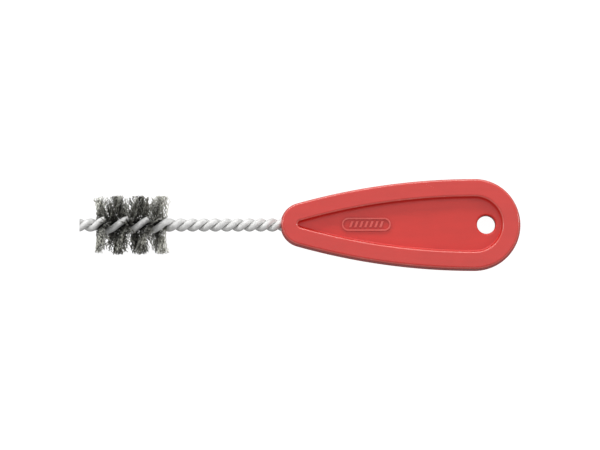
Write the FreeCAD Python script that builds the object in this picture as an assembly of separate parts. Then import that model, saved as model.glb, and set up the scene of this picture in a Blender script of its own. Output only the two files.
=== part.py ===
"""Wire fitting brush: a moulded handle, a folded and twisted stem wire, and the bristle wires in its twist.

Frame, in millimetres. The origin is the centre of the hanging hole at half the handle's thickness. +X runs
along the stem's axis from the brush towards the handle's round end, +Y is to the handle's left side and +Z
is square to its flat face. The handle is moulded round the stem's folded end, so its cavity is that wire.
"""

import FreeCAD, Part

import math
import os

# Handle moulding.
THICKNESS = 12.0
END_RADIUS = 17.5
NOSE_RADIUS = 8.5
CENTRE_DISTANCE = 65.2  # from the nose arc's centre to the round end's centre
END_TO_HOLE = 4.4  # the hole lies this far past the round end's centre
HOLE_RADIUS = 3.5
HOLE_ROUNDING = 0.8
DRAFT_INSET = 0.3  # how far each outer wall leans in from the parting plane to its face
EDGE_ROUNDING = 1.1
SEAM_HEIGHT = 0.12  # the mould's seam stands this far out of the walls, all round the parting plane
SEAM_WIDTH = 0.3

# Recess in each face.
RIM_WIDTH = 6.93
RECESS_DEPTH = 2.8
RECESS_TIP_RADIUS = 1.4
RECESS_LEAN = 0.45  # how far its wall leans in on the way down
RECESS_RIM_ROUNDING = 0.9
RECESS_FLOOR_ROUNDING = 0.6

# Marks that the mould's ejector pins leave on the lower recess floor.
EJECTOR_MARKS = 3
EJECTOR_RADIUS = 2.0
EJECTOR_DEPTH = 0.1
EJECTOR_PITCH = 18.0
FIRST_EJECTOR = 14.0  # from the hole to the first mark

# Raised blank badge on the upper recess floor.
BADGE_LENGTH = 18.6
BADGE_WIDTH = 5.0
BADGE_LINE = 0.6
BADGE_HEIGHT = 0.6
BADGE_FROM_NOSE = 32.6  # from the nose's front to the badge's middle
BADGE_RIBS = 7
BADGE_RIB_WIDTH = 0.9
BADGE_RIB_PITCH = 1.9
BADGE_RIB_SLANT = 0.9
BADGE_RIB_LENGTH = 2.4

# Stem: one wire, folded in two and twisted left-handed.
WIRE_RADIUS = 1.25
WIRE_GAP = 0.02  # between the two legs where nothing is clamped
TIGHT_PITCH = 8.64  # one turn of the bare stem
LOOSE_PITCH = 16.8  # one turn where the bristles hold the legs apart
STEM_REACH = 76.3  # from the nose's front to the cut ends
TWIST_RAMP = 3.0  # length over which the twist changes
EYE_RADIUS = 3.3  # centreline of the fold inside the handle
EYE_FLARE = 7.0  # length over which the legs part, up to the eye's centre
LAST_TWIST_DEPTH = 6.0  # the twist starts to die out less than half a turn before this depth in the nose
FRONT_CROSSING = 53.28  # from the nose's front to the place in the brush where one leg lies on top
END_TRIM = 1.2  # how far the legs are drawn past their cut ends before those are cut off square
LEG_STEP = 0.6  # between the points that the wire's centreline is drawn through
FLARE_STEPS = 8
EYE_STEPS = 12
SKIN_RAILS = 12  # curves along the wire that its round skin is drawn through
SKIN_SPAN = 12  # centreline points covered by one face of the skin

# Bristles: straight wires through the gap between the legs, in layers.
BRUSH_RADIUS = 11.0
BRUSH_NEAR = 43.2  # from the nose's front to the nearest bristle
BRUSH_FAR = 70.0  # and to the furthest
BRISTLE_RADIUS = 0.125
MOST_SIDE_LAYERS = 2  # on each side of the middle layer, where the legs are furthest apart
LAYER_PITCH = 0.33  # leaves room for the bristles' crimp
CLAMP_SLACK = 0.03
LEG_REACH = 0.55  # along the stem, a leg presses on bristles this far to either side
ROUNDING_ERROR = 1e-6
CLAMP_RAMP = 2.6  # length over which the legs part at each end of the bristles
FIRST_ON_RAMP = 0.85  # how far along its ramp the first bristle stands, at the cut ends' side
LAST_ON_RAMP = 0.5  # and the last one, at the handle's side
ROWS = 25
SLOTS_PER_ROW = 4  # places along the stem, each with one bristle in every layer that fits there
FAN_DEGREES = 5.0  # how far a slot's bristles may lean out of square with the legs
GOLDEN = 0.618034  # spreads those leans evenly

# Worked out from the dimensions above.
END_X = -END_TO_HOLE
SIDE_RADIUS = (CENTRE_DISTANCE**2 + END_RADIUS**2 - NOSE_RADIUS**2) / (2 * (END_RADIUS - NOSE_RADIUS))
NOSE_X = END_X - CENTRE_DISTANCE - NOSE_RADIUS
FACE_Z = THICKNESS / 2
FLOOR_Z = FACE_Z - RECESS_DEPTH
TIGHT_HELIX = WIRE_RADIUS + WIRE_GAP
LOOSE_HELIX = WIRE_RADIUS + BRISTLE_RADIUS + MOST_SIDE_LAYERS * LAYER_PITCH + CLAMP_SLACK
TIP_X = NOSE_X - STEM_REACH
BRUSH_START = NOSE_X - BRUSH_FAR
BRUSH_END = NOSE_X - BRUSH_NEAR
CROSSING_X = NOSE_X - FRONT_CROSSING
SLOT_PITCH = (BRUSH_END - BRUSH_START) / (ROWS * SLOTS_PER_ROW)
TIGHT_RATE = 2 * math.pi / TIGHT_PITCH
LOOSE_RATE = 2 * math.pi / LOOSE_PITCH

UP = FreeCAD.Vector(0, 0, 1)
ALONG = FreeCAD.Vector(1, 0, 0)


def teardrop(end_radius, side_radius, nose_radius, z):
    """A closed wire of four tangent arcs about the round end's centre: end, two long sides and nose."""
    reach = math.sqrt((side_radius - nose_radius) ** 2 - (side_radius - end_radius) ** 2)
    lean = math.asin(reach / (side_radius - nose_radius))

    def on_side(angle, sign):
        x = END_X - side_radius * math.sin(angle)
        y = end_radius - side_radius + side_radius * math.cos(angle)
        return FreeCAD.Vector(x, sign * y, z)

    end = FreeCAD.Vector(END_X + end_radius, 0, z)
    nose = FreeCAD.Vector(END_X - reach - nose_radius, 0, z)
    arcs = [
        Part.Arc(on_side(0, -1), end, on_side(0, 1)),
        Part.Arc(on_side(0, 1), on_side(lean / 2, 1), on_side(lean, 1)),
        Part.Arc(on_side(lean, 1), nose, on_side(lean, -1)),
        Part.Arc(on_side(lean, -1), on_side(lean / 2, -1), on_side(0, -1)),
    ]
    return Part.Wire([arc.toShape() for arc in arcs])


def outline(inset, z):
    """The handle's outline, moved in by inset."""
    return teardrop(END_RADIUS - inset, SIDE_RADIUS - inset, NOSE_RADIUS - inset, z)


def recess_outline(inset, z):
    """The recess's outline at the face, moved in by inset. Its tip is sharper than the handle's nose."""
    depth = RIM_WIDTH + inset
    return teardrop(END_RADIUS - depth, SIDE_RADIUS - depth, RECESS_TIP_RADIUS - inset, z)


def edges_on(shape, wire):
    """The edges of shape that lie on wire."""
    found = []
    for edge in shape.Edges:
        middle = edge.valueAt((edge.FirstParameter + edge.LastParameter) / 2)
        if wire.distToShape(Part.Vertex(middle))[0] < 0.01:
            found.append(edge)
    return found


def mirrored(shape):
    """shape reflected in the parting plane."""
    return shape.mirror(FreeCAD.Vector(0, 0, 0), UP)


def stadium(length, width, z, height):
    """An upright prism with two straight sides and two round ends, centred on the badge's place."""
    half = (length - width) / 2
    middle = NOSE_X + BADGE_FROM_NOSE
    corners = [
        FreeCAD.Vector(middle - half, -width / 2, z),
        FreeCAD.Vector(middle + half, -width / 2, z),
        FreeCAD.Vector(middle + half, width / 2, z),
        FreeCAD.Vector(middle - half, width / 2, z),
    ]
    right = FreeCAD.Vector(middle + length / 2, 0, z)
    left = FreeCAD.Vector(middle - length / 2, 0, z)
    edges = [
        Part.makeLine(corners[0], corners[1]),
        Part.Arc(corners[1], right, corners[2]).toShape(),
        Part.makeLine(corners[2], corners[3]),
        Part.Arc(corners[3], left, corners[0]).toShape(),
    ]
    return Part.Face(Part.Wire(edges)).extrude(UP * height)


def badge():
    """A raised stadium-shaped line round a row of slanted ribs."""
    line = stadium(BADGE_LENGTH, BADGE_WIDTH, FLOOR_Z, BADGE_HEIGHT)
    line = line.cut(
        stadium(BADGE_LENGTH - 2 * BADGE_LINE, BADGE_WIDTH - 2 * BADGE_LINE, FLOOR_Z, BADGE_HEIGHT)
    )
    pieces = [line]
    for index in range(BADGE_RIBS):
        x = NOSE_X + BADGE_FROM_NOSE + (index - (BADGE_RIBS - 1) / 2) * BADGE_RIB_PITCH
        low, high = -BADGE_RIB_LENGTH / 2, BADGE_RIB_LENGTH / 2
        slant = BADGE_RIB_SLANT / 2
        rib = Part.makePolygon(
            [
                FreeCAD.Vector(x - slant - BADGE_RIB_WIDTH / 2, low, FLOOR_Z),
                FreeCAD.Vector(x - slant + BADGE_RIB_WIDTH / 2, low, FLOOR_Z),
                FreeCAD.Vector(x + slant + BADGE_RIB_WIDTH / 2, high, FLOOR_Z),
                FreeCAD.Vector(x + slant - BADGE_RIB_WIDTH / 2, high, FLOOR_Z),
                FreeCAD.Vector(x - slant - BADGE_RIB_WIDTH / 2, low, FLOOR_Z),
            ]
        )
        pieces.append(Part.Face(rib).extrude(UP * BADGE_HEIGHT))
    return pieces


def ejector_marks():
    """The shallow discs to take out of the lower recess floor."""
    marks = []
    for index in range(EJECTOR_MARKS):
        x = -FIRST_EJECTOR - index * EJECTOR_PITCH
        marks.append(Part.makeCylinder(EJECTOR_RADIUS, EJECTOR_DEPTH, FreeCAD.Vector(x, 0, -FLOOR_Z)))
    return marks


def seam():
    """The low ridge that the two halves of the mould leave between them."""
    outer = Part.Face(outline(0, -SEAM_WIDTH / 2)).extrude(UP * SEAM_WIDTH)
    inner = Part.Face(outline(RIM_WIDTH / 2, -SEAM_WIDTH / 2)).extrude(UP * SEAM_WIDTH)
    return outer.cut(inner)


def handle_blank():
    """The moulding without the stem's cavity."""
    face_inset = SEAM_HEIGHT + DRAFT_INSET
    half = Part.makeLoft([outline(SEAM_HEIGHT, 0), outline(face_inset, FACE_Z)], True, True)
    half = half.makeFillet(EDGE_ROUNDING, edges_on(half, outline(face_inset, FACE_Z)))
    pocket = Part.makeLoft(
        [recess_outline(RECESS_LEAN, FLOOR_Z), recess_outline(0, FACE_Z)], True, True
    )
    pocket = pocket.makeFillet(
        RECESS_FLOOR_ROUNDING, edges_on(pocket, recess_outline(RECESS_LEAN, FLOOR_Z))
    )
    half = half.cut(pocket)
    half = half.makeFillet(RECESS_RIM_ROUNDING, edges_on(half, recess_outline(0, FACE_Z)))
    hole = Part.makeCylinder(HOLE_RADIUS, THICKNESS, FreeCAD.Vector(0, 0, -FACE_Z))
    half = half.cut(hole)
    mouth = Part.Wire([Part.makeCircle(HOLE_RADIUS, FreeCAD.Vector(0, 0, FLOOR_Z))])
    half = half.makeFillet(HOLE_ROUNDING, edges_on(half, mouth))
    lower = mirrored(half).cut(ejector_marks())
    return half.fuse(badge()).fuse(lower).fuse(seam())


def ramp_area(x, start):
    """The area under a smooth step from 0 to 1 that begins at start and takes TWIST_RAMP."""
    t = (x - start) / TWIST_RAMP
    if t <= 0:
        return 0.0
    if t >= 1:
        return TWIST_RAMP * (t - 0.5)
    return TWIST_RAMP * (t**3 - t**4 / 2)


def smooth_step(t):
    """0 below 0, 1 above 1, and smooth between."""
    t = min(1.0, max(0.0, t))
    return t * t * (3 - 2 * t)


def leg_radius(x):
    """How far the legs' centrelines are from the stem's axis at x. The bristles hold them apart."""
    opened = smooth_step((x - BRUSH_START) / CLAMP_RAMP + FIRST_ON_RAMP)
    closed = smooth_step((x - BRUSH_END) / CLAMP_RAMP + 1 - LAST_ON_RAMP)
    return TIGHT_HELIX + (LOOSE_HELIX - TIGHT_HELIX) * (opened - closed)


def twisted(x):
    """How far a stem that never stopped twisting has turned from its cut ends to x, in radians."""
    loosened = ramp_area(x, BRUSH_START - TWIST_RAMP / 2) - ramp_area(x, BRUSH_END - TWIST_RAMP / 2)
    return TIGHT_RATE * (x - TIP_X) - (TIGHT_RATE - LOOSE_RATE) * loosened


def twist_stop():
    """Where the twist starts to die out, so that the legs end side by side across the handle's flat."""
    latest = NOSE_X + LAST_TWIST_DEPTH
    turned = twisted(latest + TWIST_RAMP / 2) - twisted(CROSSING_X) - math.pi / 2
    return latest - (turned % math.pi) / TIGHT_RATE


def leg_angle(x):
    """The first leg's direction from the axis at x, left-handed. It is on top at CROSSING_X."""
    turned = twisted(x) - TIGHT_RATE * ramp_area(x, twist_stop())
    return math.pi / 2 - (turned - twisted(CROSSING_X))


def leg_points():
    """The first leg's centreline from just past its cut end to the eye's middle."""
    twist_start = TIP_X - END_TRIM
    twist_end = twist_stop() + TWIST_RAMP
    steps = round((twist_end - twist_start) / LEG_STEP)
    points = []
    for step in range(steps + 1):
        x = twist_start + (twist_end - twist_start) * step / steps
        radius = leg_radius(x)
        angle = leg_angle(x)
        points.append(FreeCAD.Vector(x, radius * math.cos(angle), radius * math.sin(angle)))
    side = math.copysign(1, points[-1].y)
    for step in range(1, FLARE_STEPS + 1):
        done = step / FLARE_STEPS
        apart = TIGHT_HELIX + (EYE_RADIUS - TIGHT_HELIX) * smooth_step(done)
        points.append(FreeCAD.Vector(twist_end + EYE_FLARE * done, side * apart, 0))
    return points


def wire_points():
    """The folded wire's whole centreline: the first leg, the eye, and the second leg back."""
    leg = leg_points()
    eye_x = leg[-1].x
    side = math.copysign(1, leg[-1].y)
    eye = []
    for step in range(1, EYE_STEPS):
        angle = math.pi * step / EYE_STEPS
        y = side * EYE_RADIUS * math.cos(angle)
        eye.append(FreeCAD.Vector(eye_x + EYE_RADIUS * math.sin(angle), y, 0))
    back = [FreeCAD.Vector(point.x, -point.y, -point.z) for point in reversed(leg)]
    return leg + eye + back


def skin_rings(points, parameters, radius):
    """A ring of SKIN_RAILS points square to the curve at each of its points, turned as little as can be."""
    curve = Part.BSplineCurve()
    curve.interpolate(Points=points, Parameters=parameters)
    across = UP
    rings = []
    for point, parameter in zip(points, parameters):
        along = curve.tangent(parameter)[0]
        across = (across - along * across.dot(along)).normalize()
        beside = along.cross(across)
        ring = []
        for rail in range(SKIN_RAILS):
            angle = 2 * math.pi * rail / SKIN_RAILS
            out = across * math.cos(angle) + beside * math.sin(angle)
            ring.append(point + out * radius)
        rings.append(ring)
    return rings


def round_wire(points):
    """A closed solid of WIRE_RADIUS along the smooth curve through points."""
    parameters = [0.0]
    for start, end in zip(points, points[1:]):
        parameters.append(parameters[-1] + (end - start).Length)
    # A closed cubic spline runs this much inside its evenly spaced poles.
    pole_radius = WIRE_RADIUS * 3 / (2 + math.cos(2 * math.pi / SKIN_RAILS))
    rings = skin_rings(points, parameters, pole_radius)
    rails = []
    for rail in range(SKIN_RAILS):
        curve = Part.BSplineCurve()
        curve.interpolate(Points=[ring[rail] for ring in rings], Parameters=parameters)
        rails.append(curve)
    skin = Part.BSplineSurface()
    skin.buildFromPolesMultsKnots(
        [list(poles) for poles in zip(*[rail.getPoles() for rail in rails])],
        rails[0].getMultiplicities(),
        [1] * (SKIN_RAILS + 1),
        rails[0].getKnots(),
        [float(knot) for knot in range(SKIN_RAILS + 1)],
        False,
        True,
        3,
        3,
    )
    cuts = list(range(0, len(points) - SKIN_SPAN, SKIN_SPAN)) + [len(points) - 1]
    faces = []
    for first, last in zip(cuts, cuts[1:]):
        span = skin.copy()
        span.segment(parameters[first], parameters[last], 0, SKIN_RAILS)
        faces.append(span.toShape())
    for end in (parameters[0], parameters[-1]):
        faces.append(Part.Face(Part.Wire([skin.uIso(end).toShape()])))
    shell = Part.makeShell(faces)
    shell.sewShape()
    wire = Part.makeSolid(shell)
    if wire.Volume < 0:
        wire.reverse()
    length = sum((end - start).Length for start, end in zip(points, points[1:]))
    print("stem wire volume over section times length", wire.Volume / (math.pi * WIRE_RADIUS**2 * length))
    return wire


def stem_wire():
    """The folded and twisted wire, with both ends cut square to the stem."""
    waste = Part.makeBox(2 * END_TRIM, 2 * EYE_RADIUS, 2 * EYE_RADIUS)
    waste.translate(FreeCAD.Vector(TIP_X - 2 * END_TRIM, -EYE_RADIUS, -EYE_RADIUS))
    return round_wire(wire_points()).cut(waste).Solids[0]


def bristle(x, angle, offset):
    """One straight bristle through the axis at x, pointing at angle and moved sideways by offset."""
    out = FreeCAD.Vector(0, math.cos(angle), math.sin(angle))
    aside = FreeCAD.Vector(0, -math.sin(angle), math.cos(angle))
    foot = ALONG * x + aside * offset - out * BRUSH_RADIUS
    return Part.makeCylinder(BRISTLE_RADIUS, 2 * BRUSH_RADIUS, foot, out)


def side_layers(x):
    """How many layers of bristles fit between the legs at x, on each side of the middle layer."""
    narrowest = min(leg_radius(x - LEG_REACH), leg_radius(x + LEG_REACH))
    room = narrowest - WIRE_RADIUS - BRISTLE_RADIUS - CLAMP_SLACK
    return math.floor(room / LAYER_PITCH + ROUNDING_ERROR)


def bristle_row(row):
    """The separate bristles of one row, as a group of solids."""
    bristles = []
    for slot in range(row * SLOTS_PER_ROW, (row + 1) * SLOTS_PER_ROW):
        x = BRUSH_START + (slot + 0.5) * SLOT_PITCH
        lean = 2 * (slot * GOLDEN % 1) - 1
        angle = leg_angle(x) - math.pi / 2 + math.radians(FAN_DEGREES) * lean
        outermost = side_layers(x)
        for layer in range(-outermost, outermost + 1):
            bristles.append(bristle(x, angle, layer * LAYER_PITCH))
    return Part.makeCompound(bristles)


def main():
    """Builds every piece and writes it to parts."""
    os.makedirs("parts", exist_ok=True)
    stem = stem_wire()
    handle = handle_blank().cut(stem).Solids[0]
    print("handle", handle.isValid(), handle.Volume, "stem", stem.isValid(), stem.Volume)
    handle.exportStep("parts/handle.step")
    stem.exportStep("parts/stem_wire.step")
    for row in range(ROWS):
        bristle_row(row).exportStep(f"parts/bristle_row_{row + 1:02d}.step")


main()
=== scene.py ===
"""The finished looks of a twisted-wire fitting brush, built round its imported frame.

Everything is in metres and in the frame's own axes: +X runs from the brush towards the handle's round end, +Z
out of the face with the badge, and the origin is the hanging hole's centre at half the handle's thickness.
"""

import logging
import math
from dataclasses import dataclass
from enum import Enum
from itertools import groupby

import bmesh
import bpy
import numpy as np
from mathutils import Matrix, Vector


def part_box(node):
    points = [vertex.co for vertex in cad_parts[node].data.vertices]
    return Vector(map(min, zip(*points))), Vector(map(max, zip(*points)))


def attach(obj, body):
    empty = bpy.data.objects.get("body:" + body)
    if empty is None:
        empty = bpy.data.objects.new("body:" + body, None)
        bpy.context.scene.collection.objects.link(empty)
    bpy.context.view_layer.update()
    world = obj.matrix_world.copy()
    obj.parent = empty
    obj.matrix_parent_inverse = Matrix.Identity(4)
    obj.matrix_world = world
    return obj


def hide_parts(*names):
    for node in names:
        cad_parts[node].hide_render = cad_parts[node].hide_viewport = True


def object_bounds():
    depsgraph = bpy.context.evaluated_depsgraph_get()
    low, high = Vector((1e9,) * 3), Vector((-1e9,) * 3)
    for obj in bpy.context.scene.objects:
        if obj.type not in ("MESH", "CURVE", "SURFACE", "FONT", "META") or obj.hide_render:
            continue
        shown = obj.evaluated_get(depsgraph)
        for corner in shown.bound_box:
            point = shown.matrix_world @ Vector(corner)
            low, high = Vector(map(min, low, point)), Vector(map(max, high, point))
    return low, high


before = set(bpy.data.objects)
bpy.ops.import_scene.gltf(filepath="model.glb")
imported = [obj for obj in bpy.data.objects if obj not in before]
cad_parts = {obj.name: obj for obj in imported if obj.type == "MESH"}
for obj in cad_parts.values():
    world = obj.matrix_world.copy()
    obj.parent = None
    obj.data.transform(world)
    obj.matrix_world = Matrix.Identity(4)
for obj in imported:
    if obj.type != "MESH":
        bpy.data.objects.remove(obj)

CAD_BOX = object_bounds()
MM = 0.001
ROOT = "root"
HANDLE_NODE = "handle"
STEM_NODE = "stem_wire"
ROW_PREFIX = "bristle_row_"
GOLDEN = 0.618034

log = logging.getLogger("fitting_brush")


class Slot(Enum):
    """The record's material slots."""

    HANDLE = "handle_plastic"
    STEM = "stem_steel"
    BRISTLES = "bristle_steel"


class Effect(Enum):
    """The shader node groups that several materials share."""

    MOTTLE = "mottle"
    OCCLUSION_SHADE = "occlusion_shade"
    SCUFFS = "fine_scuffs"


@dataclass
class Graph:
    """Adds nodes to one node tree and joins them.

    Attributes:
        tree: The material's or the group's node tree.
    """

    tree: bpy.types.NodeTree

    def add(self, kind: str, **settings: object) -> bpy.types.Node:
        """Adds one node.

        Args:
            kind: The node's type.
            settings: Properties to set on it.

        Returns:
            The new node.
        """
        node = self.tree.nodes.new(kind)
        for name, value in settings.items():
            setattr(node, name, value)
        return node

    def feed(self, socket: bpy.types.NodeSocket, source: object) -> None:
        """Links source to socket if it is a socket, and otherwise sets it as the socket's own value."""
        if isinstance(source, bpy.types.NodeSocket):
            self.tree.links.new(source, socket)
        else:
            socket.default_value = source

    def math(self, operation: str, first: object, second: object = 0.0) -> bpy.types.NodeSocket:
        """Works out one operation on two numbers.

        Args:
            operation: The Math node's operation.
            first: A socket or a number.
            second: A socket or a number.

        Returns:
            The result's socket.
        """
        node = self.add("ShaderNodeMath", operation=operation)
        self.feed(node.inputs[0], first)
        self.feed(node.inputs[1], second)
        return node.outputs[0]

    def span(self, value: object, start: float, end: float, low: object = 0.0, high: object = 1.0,
             smooth: bool = True) -> bpy.types.NodeSocket:
        """Maps value from start..end to low..high, and holds it beyond them.

        Args:
            value: A socket or a number.
            start: The value that gives low.
            end: The value that gives high.
            low: The result at start.
            high: The result at end.
            smooth: Whether the change eases in and out.

        Returns:
            The result's socket.
        """
        node = self.add("ShaderNodeMapRange", interpolation_type="SMOOTHSTEP" if smooth else "LINEAR")
        self.feed(node.inputs["Value"], value)
        node.inputs["From Min"].default_value = start
        node.inputs["From Max"].default_value = end
        self.feed(node.inputs["To Min"], low)
        self.feed(node.inputs["To Max"], high)
        return node.outputs["Result"]

    def blend(self, share: object, low: object, high: object, mode: str = "MIX") -> bpy.types.NodeSocket:
        """Mixes two colours.

        Args:
            share: How much of the second colour, from 0 to 1.
            low: The first colour.
            high: The second colour.
            mode: The Mix node's blend type.

        Returns:
            The mixed colour's socket.
        """
        node = self.add("ShaderNodeMix", data_type="RGBA", blend_type=mode)
        self.feed(node.inputs["Factor"], share)
        colours = [socket for socket in node.inputs if socket.type == "RGBA"]
        self.feed(colours[0], low)
        self.feed(colours[1], high)
        return next(socket for socket in node.outputs if socket.type == "RGBA")

    def noise(self, vector: object, scale: float, detail: float = 2.0,
              roughness: float = 0.5) -> bpy.types.NodeSocket:
        """Smooth random values over space.

        Args:
            vector: The place's socket.
            scale: How many bumps there are in a metre.
            detail: How many finer layers are added.
            roughness: How strong those are.

        Returns:
            The socket of a value of about 0.5.
        """
        node = self.add("ShaderNodeTexNoise")
        self.feed(node.inputs["Vector"], vector)
        node.inputs["Scale"].default_value = scale
        node.inputs["Detail"].default_value = detail
        node.inputs["Roughness"].default_value = roughness
        return node.outputs["Fac"]

    def stretched(self, vector: object, scale: tuple[float, float, float]) -> bpy.types.NodeSocket:
        """The place multiplied by a different number along each axis."""
        node = self.add("ShaderNodeVectorMath", operation="MULTIPLY")
        self.feed(node.inputs[0], vector)
        node.inputs[1].default_value = scale
        return node.outputs["Vector"]

    def parts(self, vector: object) -> bpy.types.NodeOutputs:
        """The X, Y and Z sockets of a vector."""
        node = self.add("ShaderNodeSeparateXYZ")
        self.feed(node.inputs[0], vector)
        return node.outputs

    def place(self) -> bpy.types.NodeSocket:
        """The surface point in the object's own space, which is the frame's."""
        return self.add("ShaderNodeTexCoord").outputs["Object"]

    def bump(self, height: object, distance: float, strength: float = 1.0) -> bpy.types.NodeSocket:
        """Turns a height into a normal.

        Args:
            height: The height's socket, from 0 to 1.
            distance: How tall a height of 1 is.
            strength: How much of it shows.

        Returns:
            The normal's socket.
        """
        node = self.add("ShaderNodeBump")
        node.inputs["Strength"].default_value = strength
        node.inputs["Distance"].default_value = distance
        self.feed(node.inputs["Height"], height)
        return node.outputs["Normal"]

    def effect(self, effect: Effect, vector: object, **values: float) -> bpy.types.NodeOutputs:
        """Places a shared node group.

        Args:
            effect: Which group.
            vector: The place's socket.
            values: The group's named inputs, with spaces written as underscores.

        Returns:
            The group's outputs.
        """
        node = self.add("ShaderNodeGroup", node_tree=bpy.data.node_groups[effect.value])
        self.feed(node.inputs["Vector"], vector)
        for name, value in values.items():
            self.feed(node.inputs[name.replace("_", " ").capitalize()], value)
        return node.outputs


class EffectLibrary:
    """Makes the shader node groups that several materials share."""

    def build(self) -> None:
        """Makes every group once."""
        self._mottle()
        self._occlusion_shade()
        self._scuffs()

    def _group(self, effect: Effect, numbers: dict[str, float],
               results: tuple[str, ...]) -> tuple[Graph, bpy.types.Node, bpy.types.Node]:
        """Makes an empty group with its sockets.

        Args:
            effect: The group's name.
            numbers: Its number inputs and their defaults, besides Vector.
            results: Its outputs' names.

        Returns:
            The group's graph, its input node and its output node.
        """
        tree = bpy.data.node_groups.new(effect.value, "ShaderNodeTree")
        tree.interface.new_socket(name="Vector", in_out="INPUT", socket_type="NodeSocketVector")
        for name, default in numbers.items():
            socket = tree.interface.new_socket(name=name, in_out="INPUT", socket_type="NodeSocketFloat")
            socket.default_value = default
        for name in results:
            tree.interface.new_socket(name=name, in_out="OUTPUT", socket_type="NodeSocketFloat")
        graph = Graph(tree)
        return graph, graph.add("NodeGroupInput"), graph.add("NodeGroupOutput")

    def _mottle(self) -> None:
        """Uneven colour and gloss: broad clouds with finer specks in them."""
        graph, given, result = self._group(
            Effect.MOTTLE, {"Cloud scale": 60.0, "Speck scale": 900.0}, ("Clouds", "Specks")
        )
        for scale, output in (("Cloud scale", "Clouds"), ("Speck scale", "Specks")):
            noise = graph.noise(given.outputs["Vector"], 1.0, detail=3.0, roughness=0.55)
            graph.feed(noise.node.inputs["Scale"], given.outputs[scale])
            graph.feed(result.inputs[output], graph.span(noise, 0.32, 0.68))

    def _occlusion_shade(self) -> None:
        """Painted shade that darkens tight corners, from ambient occlusion, broken up by noise."""
        graph, given, result = self._group(Effect.OCCLUSION_SHADE, {"Reach": 0.001, "Break scale": 1500.0}, ("Mask",))
        shade = graph.add("ShaderNodeAmbientOcclusion", samples=8)
        graph.feed(shade.inputs["Distance"], given.outputs["Reach"])
        painted_shade = graph.math("SUBTRACT", 1.0, shade.outputs["AO"])
        noise = graph.noise(given.outputs["Vector"], 1.0, detail=3.0)
        graph.feed(noise.node.inputs["Scale"], given.outputs["Break scale"])
        uneven = graph.span(noise, 0.3, 0.7, 0.6, 1.0)
        graph.feed(result.inputs["Mask"], graph.math("MULTIPLY", painted_shade, uneven))

    def _scuffs(self) -> None:
        """Fine scratches in two directions, only where a broad noise lets them show."""
        graph, given, result = self._group(
            Effect.SCUFFS, {"Scratch scale": 900.0, "Patch scale": 45.0}, ("Mask",)
        )
        strongest = None
        for turn in (0.35, -0.9):
            spin = graph.add("ShaderNodeVectorRotate", rotation_type="Z_AXIS")
            graph.feed(spin.inputs["Vector"], given.outputs["Vector"])
            spin.inputs["Angle"].default_value = turn
            thin = graph.noise(graph.stretched(spin.outputs[0], (0.03, 1.0, 1.0)), 1.0, detail=1.0)
            graph.feed(thin.node.inputs["Scale"], given.outputs["Scratch scale"])
            line = graph.span(thin, 0.70, 0.78)
            strongest = line if strongest is None else graph.math("MAXIMUM", strongest, line)
        patch = graph.noise(given.outputs["Vector"], 1.0, detail=2.0)
        graph.feed(patch.node.inputs["Scale"], given.outputs["Patch scale"])
        shown = graph.span(patch, 0.5, 0.66)
        graph.feed(result.inputs["Mask"], graph.math("MULTIPLY", strongest, shown))


@dataclass(frozen=True)
class Finish:
    """What every finish has.

    Attributes:
        name: The material's name.
    """

    name: str

    def _start(self) -> tuple[bpy.types.Material, Graph, bpy.types.Node]:
        """An empty material, its graph and its shader."""
        material = bpy.data.materials.new(self.name)
        material.use_nodes = True
        graph = Graph(material.node_tree)
        graph.tree.nodes.clear()
        shader = graph.add("ShaderNodeBsdfPrincipled")
        output = graph.add("ShaderNodeOutputMaterial")
        graph.feed(output.inputs["Surface"], shader.outputs["BSDF"])
        return material, graph, shader


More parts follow.
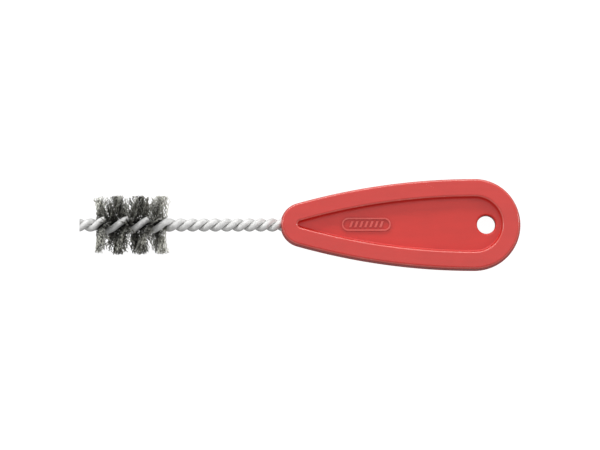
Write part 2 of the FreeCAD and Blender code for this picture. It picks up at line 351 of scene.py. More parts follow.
@dataclass(frozen=True)
class MouldedPlastic(Finish):
    """Injection-moulded plastic: a satin skin with faint flow marks, painted highlights on its edges, and
    painted shade in its recess and corners.

    Attributes:
        colour: The skin's colour on the rim.
        recess_shade_colour: The deeper, more saturated red of the recess floor: painted shade for the recess.
        edge_highlight_colour: The paler colour of the painted highlights on the edges' roundings and the
            badge's top.
        corner_shade_colour: The dark red of the painted shade in tight corners.
        wall_shade_colour: The deeper red of the painted shade near the recess's walls.
        face_height: How far the flat faces are from the parting plane.
        recess_depth: How far the recess goes down from there.
        badge_height: How far the badge stands up from the recess floor.
        rim_roughness: The roughness of the faces.
        recess_roughness: The roughness of the recess floor.
        wall_shade_reach: How far from the recess's walls the painted shade reaches.
        corner_shade_reach: How far the painted shade spreads from a corner.
    """

    colour: tuple[float, float, float, float]
    recess_shade_colour: tuple[float, float, float, float]
    edge_highlight_colour: tuple[float, float, float, float]
    corner_shade_colour: tuple[float, float, float, float]
    wall_shade_colour: tuple[float, float, float, float]
    face_height: float
    recess_depth: float
    badge_height: float
    rim_roughness: float = 0.20
    recess_roughness: float = 0.42
    wall_shade_reach: float = 7.0 * MM
    corner_shade_reach: float = 1.2 * MM

    def build(self) -> bpy.types.Material:
        """Makes the material.

        Returns:
            The new material.
        """
        material, graph, shader = self._start()
        place = graph.place()
        height = graph.math("ABSOLUTE", graph.parts(place)["Z"])
        floor = self.face_height - self.recess_depth
        wall_foot, wall_top = floor + 0.15 * self.recess_depth, floor + 0.8 * self.recess_depth
        raised = graph.span(height, wall_foot, wall_top)
        level = graph.math("ABSOLUTE", graph.parts(graph.add("ShaderNodeNewGeometry").outputs["Normal"])["Z"])
        wall = graph.span(level, 0.35, 0.75, 1.0, 0.0)
        rim = graph.math("MAXIMUM", raised, wall)
        mottle = graph.effect(Effect.MOTTLE, place, cloud_scale=70.0, speck_scale=1600.0)
        flow = graph.noise(graph.stretched(place, (0.22, 1.0, 1.0)), 190.0, detail=4.0, roughness=0.6)
        # The recess floor takes a deeper, more saturated red: painted shade.
        colour = graph.blend(rim, self.recess_shade_colour, self.colour)
        shade = graph.math("ADD", graph.span(flow, 0.3, 0.7, 0.965, 1.03),
                           graph.span(mottle["Clouds"], 0.0, 1.0, -0.02, 0.02))
        tint = graph.add("ShaderNodeCombineColor")
        for channel in tint.inputs:
            graph.feed(channel, shade)
        colour = graph.blend(1.0, colour, tint.outputs[0], "MULTIPLY")
        # Painted highlights on the roundings and the badge's top.
        edge_highlight = self._edge_highlights(graph, place, level, height)
        colour = graph.blend(edge_highlight, colour, self.edge_highlight_colour)
        # Painted shade near the recess's walls, from ambient occlusion with a long reach.
        painted_shade = graph.effect(Effect.OCCLUSION_SHADE, place, reach=self.wall_shade_reach, break_scale=120.0)["Mask"]
        painted_shade = graph.math("MULTIPLY", graph.span(painted_shade, 0.04, 0.5), graph.span(rim, 0.0, 1.0, 0.8, 0.0))
        colour = graph.blend(painted_shade, colour, self.wall_shade_colour)
        # Painted shade in tight corners.
        corner_shade = graph.effect(Effect.OCCLUSION_SHADE, place, reach=self.corner_shade_reach, break_scale=1800.0)["Mask"]
        colour = graph.blend(graph.math("MULTIPLY", corner_shade, 0.22), colour, self.corner_shade_colour)
        graph.feed(shader.inputs["Base Color"], colour)
        scuffs = graph.effect(Effect.SCUFFS, place, scratch_scale=700.0, patch_scale=38.0)["Mask"]
        gloss = graph.span(rim, 0.0, 1.0, self.recess_roughness, self.rim_roughness)
        gloss = graph.math("ADD", gloss, graph.span(mottle["Specks"], 0.0, 1.0, -0.01, 0.02))
        gloss = graph.math("ADD", gloss, graph.math("MULTIPLY", scuffs, 0.08))
        graph.feed(shader.inputs["Roughness"], gloss)
        shader.inputs["IOR"].default_value = 1.56
        graph.feed(shader.inputs["Normal"], self._skin(graph, place, rim, scuffs))
        return material

    def _edge_highlights(self, graph: Graph, place: object, level: object, height: object) -> bpy.types.NodeSocket:
        """Where painted highlights go: the roundings at the faces and the badge's top, broken into patches.
        """
        rounding = graph.math(
            "MULTIPLY", graph.span(level, 0.25, 0.6), graph.span(level, 0.85, 0.98, 1.0, 0.0)
        )
        outside = graph.span(height, self.face_height - 0.9 * MM, self.face_height - 0.3 * MM)
        edges = graph.math("MULTIPLY", rounding, outside)
        above_floor = graph.math("SUBTRACT", height, self.face_height - self.recess_depth)
        top = self.badge_height
        raised = graph.math("MULTIPLY", graph.span(above_floor, 0.75 * top, 0.95 * top),
                            graph.span(above_floor, 1.08 * top, 1.33 * top, 1.0, 0.0))
        badge = graph.math("MULTIPLY", raised, graph.span(level, 0.85, 0.98, 0.0, 0.55))
        patches = graph.span(graph.noise(place, 420.0, detail=4.0, roughness=0.65), 0.5, 0.68, 0.45, 0.75)
        return graph.math("MULTIPLY", graph.math("MAXIMUM", edges, badge), patches)

    def _skin(self, graph: Graph, place: object, rim: object, scuffs: object) -> bpy.types.NodeSocket:
        """The skin's relief: orange peel everywhere, a finer spark-eroded grain in the recess, and scuffs."""
        peel = graph.noise(place, 650.0, detail=1.0)
        grain = graph.noise(place, 5200.0, detail=2.0, roughness=0.6)
        grain = graph.math("MULTIPLY", grain, graph.span(rim, 0.0, 1.0, 0.45, 0.03))
        relief = graph.math("ADD", graph.math("MULTIPLY", peel, 0.7), grain)
        relief = graph.math("SUBTRACT", relief, graph.math("MULTIPLY", scuffs, 0.15))
        return graph.bump(relief, 0.010 * MM, 0.8)


@dataclass(frozen=True)
class GalvanisedWire(Finish):
    """Galvanised steel wire: pale dull zinc with drawing lines along it, with painted shade in the grooves of
    its twist.

    Attributes:
        colour: The zinc's colour.
        dull_colour: Where it has gone dull.
        groove_shade_colour: The painted shade between the two legs.
        steel_colour: The bare steel of the cut ends.
        tight_rate: How far the bare stem turns, in radians per metre.
        loose_rate: How far it turns where it holds the bristles.
        loose_span: The X where the loose twist starts and ends.
        cut_x: The X of the cut ends.
        groove_shade_reach: How far the painted shade spreads out of the grooves.
    """

    colour: tuple[float, float, float, float]
    dull_colour: tuple[float, float, float, float]
    groove_shade_colour: tuple[float, float, float, float]
    steel_colour: tuple[float, float, float, float]
    tight_rate: float
    loose_rate: float
    loose_span: tuple[float, float]
    cut_x: float
    groove_shade_reach: float = 1.0 * MM

    def build(self) -> bpy.types.Material:
        """Makes the material.

        Returns:
            The new material.
        """
        material, graph, shader = self._start()
        place = graph.place()
        straight = self._untwisted(graph, place)
        lines = graph.noise(graph.stretched(straight, (0.045, 1.0, 1.0)), 5200.0, detail=3.0, roughness=0.6)
        mottle = graph.effect(Effect.MOTTLE, place, cloud_scale=520.0, speck_scale=3800.0)
        colour = graph.blend(graph.span(mottle["Clouds"], 0.0, 1.0, 0.0, 0.75), self.colour, self.dull_colour)
        colour = graph.blend(graph.span(lines, 0.55, 0.75, 0.0, 0.35), colour, self.dull_colour)
        # Painted shade in the grooves between the legs, from ambient occlusion.
        ao_shade = graph.effect(Effect.OCCLUSION_SHADE, place, reach=self.groove_shade_reach, break_scale=2600.0)["Mask"]
        colour = graph.blend(graph.span(ao_shade, 0.35, 0.9, 0.0, 0.65), colour, self.groove_shade_colour)
        cut = graph.span(graph.parts(place)["X"], self.cut_x, self.cut_x + 0.04 * MM, 1.0, 0.0)
        colour = graph.blend(cut, colour, self.steel_colour)
        graph.feed(shader.inputs["Base Color"], colour)
        shader.inputs["Metallic"].default_value = 0.25
        scuffs = graph.effect(Effect.SCUFFS, straight, scratch_scale=2600.0, patch_scale=240.0)["Mask"]
        gloss = graph.span(mottle["Specks"], 0.0, 1.0, 0.54, 0.68)
        gloss = graph.math("SUBTRACT", gloss, graph.math("MULTIPLY", scuffs, 0.12))
        graph.feed(shader.inputs["Roughness"], gloss)
        relief = graph.math("ADD", lines, graph.math("MULTIPLY", mottle["Specks"], 0.5))
        graph.feed(shader.inputs["Normal"], graph.bump(relief, 0.02 * MM, 0.8))
        return material

    def _untwisted(self, graph: Graph, place: object) -> bpy.types.NodeSocket:
        """The place turned back by the stem's twist, so that X runs along each leg."""
        along = graph.parts(place)["X"]
        start, end = self.loose_span
        slack = (self.tight_rate - self.loose_rate) * (end - start)
        loosened = graph.span(along, start, end, 0.0, slack, smooth=False)
        turn = graph.math("SUBTRACT", graph.math("MULTIPLY", along, self.tight_rate), loosened)
        spin = graph.add("ShaderNodeVectorRotate", rotation_type="X_AXIS")
        graph.feed(spin.inputs["Vector"], place)
        graph.feed(spin.inputs["Angle"], turn)
        return spin.outputs[0]


@dataclass(frozen=True)
class BristleSteel(Finish):
    """Crimped steel bristles: grey wires of uneven shade, with dirt and painted shade near the stem, painted
    shade among the wires, painted light near the brush's ends, and bright cut ends.

    Attributes:
        colour: A fresh wire's colour.
        dark_colour: The darkest wires, and the dirt and painted shade near the stem and among the wires.
        oil_colour: The faint tint of the oil film.
        end_colour: The cut ends.
        thicket_shade_reach: How close other wires must be for painted shade to fall between them.
    """

    colour: tuple[float, float, float, float]
    dark_colour: tuple[float, float, float, float]
    oil_colour: tuple[float, float, float, float]
    end_colour: tuple[float, float, float, float]
    thicket_shade_reach: float = 3.0 * MM

    def build(self) -> bpy.types.Material:
        """Makes the material.

        Returns:
            The new material.
        """
        material, graph, shader = self._start()
        place = graph.place()
        shade = graph.add("ShaderNodeAttribute", attribute_name="shade").outputs["Fac"]
        reach = graph.add("ShaderNodeAttribute", attribute_name="reach").outputs["Fac"]
        mottle = graph.effect(Effect.MOTTLE, place, cloud_scale=900.0, speck_scale=9000.0)
        colour = graph.blend(graph.span(shade, 0.0, 1.0, smooth=False), self.dark_colour, self.colour)
        colour = graph.blend(graph.span(mottle["Clouds"], 0.3, 1.0, 0.0, 0.5), colour, self.oil_colour)
        # Darker near the stem: dirt and painted shade deep in the brush, less on the wires painted lighter
        # near the ends.
        patchy = graph.span(mottle["Specks"], 0.0, 1.0, 0.55, 1.0)
        darkening_share = graph.span(shade, 1.0, 1.8, 1.0, 0.35)
        root_dirt_and_shade = graph.math("MULTIPLY", graph.span(reach, 0.26, 0.68, 0.97, 0.0), patchy)
        colour = graph.blend(graph.math("MULTIPLY", root_dirt_and_shade, darkening_share), colour, self.dark_colour)
        # Painted shade where other wires crowd round, from ambient occlusion.
        ao_shade = graph.effect(Effect.OCCLUSION_SHADE, place, reach=self.thicket_shade_reach, break_scale=3000.0)["Mask"]
        painted_shade = graph.math("MULTIPLY", graph.span(ao_shade, 0.2, 0.62, 0.0, 0.98), darkening_share)
        colour = graph.blend(painted_shade, colour, self.dark_colour)
        colour = graph.blend(graph.span(reach, 0.995, 1.0), colour, self.end_colour)
        graph.feed(shader.inputs["Base Color"], colour)
        shader.inputs["Metallic"].default_value = 0.9
        graph.feed(shader.inputs["Roughness"], graph.span(mottle["Specks"], 0.0, 1.0, 0.28, 0.46))
        graph.feed(shader.inputs["Normal"], graph.bump(mottle["Specks"], 0.006 * MM, 0.6))
        return material


@dataclass(frozen=True)
class FloorSheet(Finish):
    """The pale sheet that the brush lies on. It is overexposed to white, but throws little light back up.

    Attributes:
        colour: The sheet's colour.
        glow: How much brightness the camera sees on top of that.
        bounce: How brightly it lights what lies on it.
    """

    colour: tuple[float, float, float, float]
    glow: float
    bounce: float

    def build(self) -> bpy.types.Material:
        """Makes the material.

        Returns:
            The new material.
        """
        material, graph, shader = self._start()
        mottle = graph.effect(Effect.MOTTLE, graph.place(), cloud_scale=4.0, speck_scale=700.0)
        faint = graph.span(mottle["Clouds"], 0.0, 1.0, 0.0, 0.04)
        graph.feed(shader.inputs["Base Color"], graph.blend(faint, self.colour, (0.8, 0.8, 0.8, 1.0)))
        graph.feed(shader.inputs["Roughness"], graph.span(mottle["Specks"], 0.0, 1.0, 0.7, 0.8))
        shader.inputs["Emission Color"].default_value = (1.0, 1.0, 1.0, 1.0)
        seen = graph.add("ShaderNodeLightPath").outputs["Is Camera Ray"]
        graph.feed(shader.inputs["Emission Strength"], graph.span(seen, 0.0, 1.0, self.bounce, self.glow))
        return material


def dress(piece: bpy.types.Object, material: bpy.types.Material) -> None:
    """Gives piece its one material.

    Args:
        piece: The object to dress.
        material: Its finish.
    """
    piece.data.materials.clear()
    piece.data.materials.append(material)


def new_piece(name: str, vertices: np.ndarray, faces: list[list[int]]) -> bpy.types.Object:
    """Makes a smooth-shaded mesh object at the origin.

    Args:
        name: The piece's name.
        vertices: Its points, in the frame.
        faces: The point numbers of each face.

    Returns:
        The new object.
    """
    mesh = bpy.data.meshes.new(name)
    mesh.from_pydata(vertices.tolist(), [], faces)
    mesh.polygons.foreach_set("use_smooth", [True] * len(mesh.polygons))
    mesh.update()
    piece = bpy.data.objects.new(name, mesh)
    bpy.context.scene.collection.objects.link(piece)
    return piece


@dataclass
class Handle:
    """The moulded handle: the frame's own node in its finish.

    Attributes:
        recess_depth: How far the recess goes down from the flat face.
        badge_height: How far the badge stands up from its floor.
    """

    recess_depth: float = 2.8 * MM
    badge_height: float = 0.6 * MM

    def build(self) -> list[bpy.types.Object]:
        """Dresses the handle.

        Returns:
            Its pieces.
        """
        _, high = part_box(HANDLE_NODE)
        plastic = MouldedPlastic(
            name="red_moulded_plastic",
            # Besides the skin's own colour, these are the painted shade of the recess floor, the painted
            # highlights on the edges, and the painted shade in corners and near the walls.
            colour=(0.610, 0.030, 0.022, 1.0),
            recess_shade_colour=(0.630, 0.022, 0.014, 1.0),
            edge_highlight_colour=(0.740, 0.230, 0.200, 1.0),
            corner_shade_colour=(0.300, 0.040, 0.034, 1.0),
            wall_shade_colour=(0.530, 0.002, 0.001, 1.0),
            face_height=high.z,
            recess_depth=self.recess_depth,
            badge_height=self.badge_height,
        ).build()
        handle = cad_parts[HANDLE_NODE]
        dress(handle, plastic)
        return [handle]


@dataclass
class Stem:
    """The folded and twisted wire: the frame's own node in its finish.

    Attributes:
        tight_pitch: The length of one turn of the bare stem.
        loose_pitch: The length of one turn between the bristles.
    """

    tight_pitch: float = 8.64 * MM
    loose_pitch: float = 16.8 * MM

    def build(self, brush_start: float, brush_end: float) -> list[bpy.types.Object]:
        """Dresses the stem.

        Args:
            brush_start: The X where the bristles start.
            brush_end: The X where they end.

        Returns:
            Its pieces.
        """
        low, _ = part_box(STEM_NODE)
        zinc = GalvanisedWire(
            name="galvanised_wire",
            colour=(0.820, 0.820, 0.810, 1.0),
            dull_colour=(0.640, 0.640, 0.630, 1.0),
            # The groove colour is painted shade between the legs.
            groove_shade_colour=(0.240, 0.240, 0.232, 1.0),
            steel_colour=(0.420, 0.420, 0.420, 1.0),
            tight_rate=2 * math.pi / self.tight_pitch,
            loose_rate=2 * math.pi / self.loose_pitch,
            loose_span=(brush_start, brush_end),
            cut_x=low.x,
        ).build()
        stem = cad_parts[STEM_NODE]
        dress(stem, zinc)
        return [stem]


@dataclass
class StraightWire:
    """One bristle as the frame holds it.

    Attributes:
        middle: Its middle, in the clamp.
        out: Its direction.
        half_length: The length from its middle to either end.
    """

    middle: np.ndarray
    out: np.ndarray
    half_length: float


@dataclass
class Sheaf:
    """How the few wires that leave the clamp at one place lie together on one side of the stem.

    Attributes:
        tip_x: The X that their tips are pushed to.
        turn: How far their tips are pushed round the stem.
        pitch: The length of one wave of their crimp.
        phase: Where in a wave they leave the clamp.
        plane: Which way the crimp swings, as an angle from the stem's axis.
    """

    tip_x: float
    turn: float
    pitch: float
    phase: float
    plane: float


@dataclass
class BrushHead:
    """The bristles: each straight wire of the frame is crimped and splayed, and a row of them is one piece.

    Attributes:
        radius: From a wire's centre to its section's corners.
        sides: How many sides its section has.
        clamp_half: How far from its middle the stem holds a wire straight.
        crimp_length: The length of one wave of the crimp.
        crimp_height: How far the crimp swings to each side.
        rings_per_wave: How finely a wave is drawn.
        lean_from: How far from its middle a wire starts to lean.
        splay_along: How far a sheaf's tips may be pushed along the stem.
        splay_round: How far they may be pushed round it.
        flattening: How far round it storage has pushed the tips that stood halfway between up and sideways.
        loose_along: How far one wire's tip may lie from its sheaf's.
        stray_share: How many wires leave their sheaf and go their own way.
        uneven_ends: How much longer or shorter than the frame's wire an end may be.
        first_margin: How far tips may stand past the frame's first wire, at the cut ends' side.
        last_margin: How far they may stand past its last one.
        end_light_length: How far in from the brush's ends the wires are painted lighter.
        end_light_first: How much painted light the first wire gets, at the cut ends' side.
        end_light_last: How much painted light the last one gets.
        seed: What the random draws start from.
    """

    radius: float = 0.135 * MM
    sides: int = 6
    clamp_half: float = 1.3 * MM
    crimp_length: float = 1.9 * MM
    crimp_height: float = 0.26 * MM
    rings_per_wave: int = 8
    lean_from: float = 2.4 * MM
    splay_along: float = 2.0 * MM
    splay_round: float = 0.9 * MM
    flattening: float = 2.2 * MM
    loose_along: float = 0.7 * MM
    stray_share: float = 0.08
    uneven_ends: float = 0.35 * MM
    first_margin: float = 0.5 * MM
    last_margin: float = 2.4 * MM
    end_light_length: float = 5.0 * MM
    end_light_first: float = 0.6
    end_light_last: float = 1.4
    seed: int = 22

    def __post_init__(self) -> None:
        """Finds the rows and the stretch of stem that they cover."""
        self.rows = sorted(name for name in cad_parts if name.startswith(ROW_PREFIX))
        boxes = [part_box(row) for row in self.rows]
        self.start = min(low.x for low, _ in boxes)
        self.end = max(high.x for _, high in boxes)
        self.random = np.random.default_rng(self.seed)
        self.sheaves_made = 0

    def build(self) -> list[bpy.types.Object]:
        """Makes a piece for each row.

        Returns:
            The pieces.
        """
        steel = BristleSteel(
            name="crimped_bristle_steel",
            colour=(0.860, 0.860, 0.780, 1.0),
            # The dark colour also serves the dirt and painted shade near the stem and among the wires.
            dark_colour=(0.020, 0.020, 0.017, 1.0),
            oil_colour=(0.240, 0.232, 0.165, 1.0),
            end_colour=(0.520, 0.520, 0.510, 1.0),
        ).build()
        pieces = []
        for row in self.rows:
            piece = self._row_piece(row)
            dress(piece, steel)
            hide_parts(row)
            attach(piece, ROOT)
            pieces.append(piece)
        return pieces

    def _row_piece(self, row: str) -> bpy.types.Object:
        """Makes one row's crimped wires.

        Args:
            row: The frame's node.

        Returns:
            The row's piece.
        """
        vertices, faces, shades, reaches = [], [], [], []
        count = 0
        for place, group in groupby(self._straight_wires(row), key=lambda wire: round(wire.middle[0], 6)):
            self.sheaves_made += 1
            sheaves = {side: self._sheaf(place, side) for side in (-1, 1)}
            sheaf_shade = self.random.beta(0.8, 0.9)
            for wire in group:
                path, reach = self._crimped(wire, sheaves)
                rings = self._rings(path)
                faces += self._tube_faces(len(path), count)
                count += rings.shape[0] * self.sides
                vertices.append(rings.reshape(-1, 3))
                # A wire's tone: random per sheaf and per wire, plus painted light near the brush's ends.
                shade = 0.5 * sheaf_shade + 0.5 * self.random.beta(0.7, 0.9) + self._end_light(place)
                shades.append(np.full(rings.shape[0] * self.sides, shade))
                reaches.append(np.repeat(reach, self.sides))
        piece = new_piece(row.replace(ROW_PREFIX, "crimped_bristles_"), np.concatenate(vertices), faces)
        for name, values in (("shade", shades), ("reach", reaches)):
            attribute = piece.data.attributes.new(name, "FLOAT", "POINT")
            attribute.data.foreach_set("value", np.concatenate(values).astype(np.float32))
        return piece

    def _straight_wires(self, row: str) -> list[StraightWire]:
        """Reads a row's straight wires from the frame's mesh.

        Args:
            row: The frame's node.

        Returns:
            Its wires, from low X to high X.
        """
        bm = bmesh.new()
        bm.from_mesh(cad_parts[row].data)
        bmesh.ops.remove_doubles(bm, verts=bm.verts, dist=1e-7)
        waiting = set(bm.verts)
        wires = []
        while waiting:
            edge_of_search = [waiting.pop()]
            island = list(edge_of_search)
            while edge_of_search:
                for edge in edge_of_search.pop().link_edges:
                    for vertex in edge.verts:
                        if vertex in waiting:
                            waiting.remove(vertex)
                            edge_of_search.append(vertex)
                            island.append(vertex)
            wires.append(self._as_wire(np.array([vertex.co for vertex in island])))
        bm.free()
        return sorted(wires, key=lambda wire: tuple(np.round(wire.middle, 6)))

    def _as_wire(self, points: np.ndarray) -> StraightWire:
        """The straight wire that a cylinder's corner points belong to."""
        middle = (points.min(axis=0) + points.max(axis=0)) / 2
        far = points[np.argmax(np.linalg.norm(points - middle, axis=1))] - middle
        ends = [points[(points - middle) @ far * side > 0].mean(axis=0) for side in (1, -1)]
        if (ends[0][2], ends[0][1]) < (ends[1][2], ends[1][1]):
            ends.reverse()
        span = ends[0] - ends[1]
        length = float(np.linalg.norm(span))
        return StraightWire((ends[0] + ends[1]) / 2, span / length, length / 2)

    def _end_light(self, place: float) -> float:
        """How much painted light the wires near the brush's two ends get."""
        first = max(0.0, 1.0 - (place - self.start) / self.end_light_length)
        last = max(0.0, 1.0 - (self.end - place) / self.end_light_length)
        return self.end_light_first * first + self.end_light_last * last

    def _sheaf(self, place: float, side: int) -> Sheaf:
        """Draws how the wires that leave the clamp at place lie on one side.

        Args:
            place: The X where they leave the clamp.
            side: Which side, -1 or 1. The golden ratio spreads successive sheaves evenly on each.

        Returns:
            The sheaf.
        """
        spread = (self.sheaves_made * GOLDEN + 0.25 * side + self.random.uniform(-0.1, 0.1)) % 1.0
        return Sheaf(
            tip_x=self._tip_x(place, spread),
            turn=self.random.uniform(-1, 1) * self.splay_round,
            pitch=self.crimp_length * self.random.uniform(0.95, 1.05),
            phase=self.random.uniform(0, 2 * math.pi),
            plane=self.random.normal(0.0, 0.5),
        )

    def _tip_x(self, place: float, spread: float) -> float:
        """Finds how far along the stem a tip lies.

        Args:
            place: The X where its wire leaves the clamp.
            spread: Where it lies in the stretch that it can reach, from 0 to 1.

        Returns:
            Its X.
        """
        margin = self.random.uniform(0.4, 1.4)
        lowest = max(place - self.splay_along, self.start - self.first_margin * margin)
        highest = min(place + self.splay_along, self.end + self.last_margin * margin)
        return lowest + (highest - lowest) * spread

    def _crimped(self, wire: StraightWire, sheaves: dict[int, Sheaf]) -> tuple[np.ndarray, np.ndarray]:
        """A wire's crimped and splayed centreline.

        Args:
            wire: The straight wire.
            sheaves: How its sheaf lies on each side.

        Returns:
            Its points, and how near each is to an end, from 0 in the clamp to 1.
        """
        first, second = (self._half(wire, wire.out * side, sheaf) for side, sheaf in sheaves.items())
        path = np.concatenate([first[0][:0:-1], second[0]])
        reach = np.concatenate([first[1][:0:-1], second[1]])
        return path, reach

    def _half(self, wire: StraightWire, out: np.ndarray, sheaf: Sheaf) -> tuple[np.ndarray, np.ndarray]:
        """One half of a wire, from the clamp to its end.

        Args:
            wire: The straight wire.
            out: The direction of this half.
            sheaf: How its sheaf lies.

        Returns:
            Its points and their reach.
        """
        along = np.array([1.0, 0.0, 0.0])
        around = np.cross(along, out)
        length = wire.half_length + self.random.uniform(-1, 1) * self.uneven_ends
        rings = max(12, round(length / self.crimp_length * self.rings_per_wave))
        s = np.linspace(0.0, length, rings + 1)
        free = np.clip((s - self.lean_from) / (length - self.lean_from), 0.0, 1.0)
        lean = free * (0.55 + 0.45 * free)
        tip_x = sheaf.tip_x + self.random.normal(0.0, 1.0) * self.loose_along
        if self.random.random() < self.stray_share:
            tip_x = self._tip_x(wire.middle[0], self.random.random())
        turn = sheaf.turn + self.random.normal(0.0, 1.0) * self.loose_along
        turn -= self.flattening * 2 * out[1] * out[2]
        path = wire.middle + np.outer(s, out)
        path += np.outer(lean * (tip_x - wire.middle[0]), along) + np.outer(lean * turn, around)
        grown = np.clip((s - 0.8 * self.clamp_half) / self.clamp_half, 0.0, 1.0)
        wave = grown * np.sin(2 * math.pi * s / sheaf.pitch + sheaf.phase + self.random.normal(0.0, 0.35))
        across = along * math.cos(sheaf.plane) + around * math.sin(sheaf.plane)
        path += np.outer(wave * self.crimp_height * self.random.uniform(0.85, 1.15), across)
        # Bending a wire sideways doesn't make it longer, so its end is drawn in by what the lean takes up.
        sideways = math.hypot(tip_x - wire.middle[0], turn)
        path -= np.outer(lean * (length - math.sqrt(max(length**2 - sideways**2, 0.0))), out)
        return path, s / length

    def _rings(self, path: np.ndarray) -> np.ndarray:
        """Rings of points round a centreline, with a slanted cut at each end.

        Args:
            path: The centreline.

        Returns:
            The rings, with the point in its ring as the second index.
        """
        tangent = np.gradient(path, axis=0)
        tangent /= np.linalg.norm(tangent, axis=1, keepdims=True)
        beside = np.cross(tangent, [1.0, 0.0, 0.0])
        beside /= np.linalg.norm(beside, axis=1, keepdims=True)
        above = np.cross(beside, tangent)
        angles = np.linspace(0.0, 2 * math.pi, self.sides, endpoint=False)
        sideways = np.cos(angles)[None, :, None] * beside[:, None, :]
        upwards = np.sin(angles)[None, :, None] * above[:, None, :]
        rings = path[:, None, :] + self.radius * (sideways + upwards)
        for end in (0, -1):
            depth = self.random.uniform(-0.8, 0.8) * self.radius
            slant = depth * np.cos(angles + self.random.uniform(0, 6.3))
            rings[end] += slant[:, None] * tangent[end]
        return rings

    def _tube_faces(self, rings: int, first: int) -> list[list[int]]:
        """The faces of a capped tube.

        Args:
            rings: How many rings it has.
            first: The number of its first point.

        Returns:
            Its faces.
        """
        faces = []
        for ring in range(rings - 1):
            base = first + ring * self.sides
            for side in range(self.sides):
                after = (side + 1) % self.sides
                faces.append([base + side, base + after, base + self.sides + after, base + self.sides + side])
        last = first + (rings - 1) * self.sides
        faces.append([first + side for side in reversed(range(self.sides))])
        faces.append([last + side for side in range(self.sides)])
        return faces


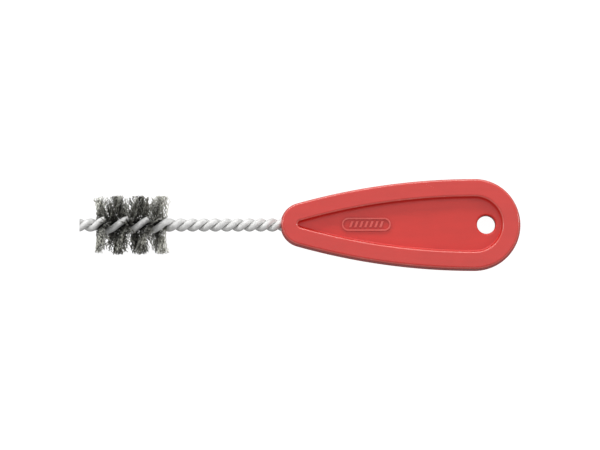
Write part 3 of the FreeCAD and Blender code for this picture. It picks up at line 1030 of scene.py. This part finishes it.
@dataclass
class Studio:
    """The pale floor under the brush, the soft lights and the camera high above it.

    Attributes:
        frame_width: The width of what the camera sees at the brush.
        tilt: How far the camera stands off the vertical, towards -Y, in degrees.
        lens: The camera's focal length, in millimetres.
        sensor: The camera's sensor width, in millimetres.
        floor_half: Half of the floor's width.
        room_light: How bright the surroundings are to the brush.
    """

    frame_width: float = 228.0 * MM
    tilt: float = 4.0
    lens: float = 250.0
    sensor: float = 36.0
    floor_half: float = 3.0
    room_light: float = 0.38

    def build(self, pieces: list[bpy.types.Object]) -> None:
        """Makes the floor under pieces, the lights, the surroundings and the camera.

        Args:
            pieces: Everything that shows of the brush.
        """
        low, high = CAD_BOX
        self.centre = (low + high) / 2
        self.centre.z = 0.0
        self._floor(pieces)
        self._lights()
        self._surroundings()
        self._camera()

    def _resting_line(self, pieces: list[bpy.types.Object]) -> tuple[float, float]:
        """The line in the XZ plane that the brush rests on, from the lower hull of its points.

        Args:
            pieces: Everything that shows of the brush.

        Returns:
            The line's slope and its height at X = 0.
        """
        clouds = []
        for piece in pieces:
            points = np.empty(len(piece.data.vertices) * 3, np.float32)
            piece.data.vertices.foreach_get("co", points)
            clouds.append(points.reshape(-1, 3)[:, [0, 2]].astype(float))
        cloud = np.concatenate(clouds)
        hull: list[np.ndarray] = []
        for point in cloud[np.lexsort((cloud[:, 1], cloud[:, 0]))]:
            while len(hull) > 1 and self._turns_down(hull[-2], hull[-1], point):
                hull.pop()
            hull.append(point)
        for left, right in zip(hull, hull[1:]):
            if left[0] <= self.centre.x < right[0]:
                slope = (right[1] - left[1]) / (right[0] - left[0])
                return slope, left[1] - slope * left[0]
        raise ValueError("the brush has no point under its middle")

    def _turns_down(self, first: np.ndarray, middle: np.ndarray, last: np.ndarray) -> bool:
        """Whether middle is on or above the line from first to last."""
        a, b = middle - first, last - first
        return a[0] * b[1] - a[1] * b[0] <= 0

    def _floor(self, pieces: list[bpy.types.Object]) -> None:
        """Lays the sheet under the bristle ends and the handle's round end."""
        slope, height = self._resting_line(pieces)
        corners = []
        for x, y in ((-1, -1), (1, -1), (1, 1), (-1, 1)):
            place = self.centre.x + x * self.floor_half
            corners.append((place, y * self.floor_half, slope * place + height))
        floor = new_piece("floor", np.array(corners), [[0, 1, 2, 3]])
        floor.data.materials.append(
            FloorSheet(name="pale_floor", colour=(0.12, 0.12, 0.12, 1.0), glow=0.97, bounce=0.08).build()
        )
        log.info("floor slopes %.2f degrees", math.degrees(math.atan(slope)))

    def _softbox(self, name: str, offset: Vector, size: tuple[float, float], power: float) -> None:
        """Hangs a rectangular light that points at the brush's middle.

        Args:
            name: The light's name.
            offset: Its place from the brush's middle.
            size: Its two sides.
            power: Its power, in watts.
        """
        lamp = bpy.data.lights.new(name, "AREA")
        lamp.shape = "RECTANGLE"
        lamp.size, lamp.size_y = size
        lamp.energy = power
        light = bpy.data.objects.new(name, lamp)
        light.location = self.centre + offset
        light.rotation_euler = (-offset).to_track_quat("-Z", "Y").to_euler()
        bpy.context.scene.collection.objects.link(light)

    def _lights(self) -> None:
        """The main softbox beyond the brush's +Y side, a small one at each end and a wide one overhead."""
        self._softbox("main_softbox", Vector((-0.12, 0.86, 0.36)), (1.1, 0.24), 6.6)
        self._softbox("stem_end_softbox", Vector((-0.85, 0.15, 0.36)), (0.24, 0.20), 1.4)
        self._softbox("handle_end_softbox", Vector((0.85, 0.15, 0.36)), (0.24, 0.20), 1.4)
        self._softbox("overhead_softbox", Vector((0.0, 0.25, 1.35)), (1.6, 1.6), 7.2)

    def _surroundings(self) -> None:
        """Even light from all round, which the camera itself sees as plain white."""
        world = bpy.data.worlds.new("white_studio")
        world.use_nodes = True
        graph = Graph(world.node_tree)
        background = world.node_tree.nodes["Background"]
        background.inputs["Color"].default_value = (1.0, 1.0, 1.0, 1.0)
        seen = graph.add("ShaderNodeLightPath").outputs["Is Camera Ray"]
        graph.feed(background.inputs["Strength"], graph.span(seen, 0.0, 1.0, self.room_light, 1.0))
        bpy.context.scene.world = world

    def _camera(self) -> None:
        """Puts the camera above the brush, with +Y up in its view."""
        data = bpy.data.cameras.new("camera")
        data.lens = self.lens
        data.sensor_width = self.sensor
        camera = bpy.data.objects.new("camera", data)
        distance = self.frame_width * self.lens / self.sensor
        tilted = Matrix.Rotation(math.radians(self.tilt), 4, "X")
        camera.matrix_world = Matrix.Translation(self.centre) @ tilted @ Matrix.Translation((0, 0, distance))
        data.clip_start, data.clip_end = distance / 100, distance * 100
        bpy.context.scene.collection.objects.link(camera)
        bpy.context.scene.camera = camera
        bpy.context.scene.view_settings.view_transform = "Standard"


def main() -> None:
    """Builds the brush's sub-assemblies in order, and the studio round them."""
    logging.basicConfig(level=logging.INFO, format="%(name)s: %(message)s")
    EffectLibrary().build()
    head = BrushHead()
    pieces = Handle().build() + Stem().build(head.start, head.end) + head.build()
    for piece in pieces:
        log.info("%s: %d faces", piece.name, len(piece.data.polygons))
    Studio().build(pieces)


if __name__ == "__main__":
    main()
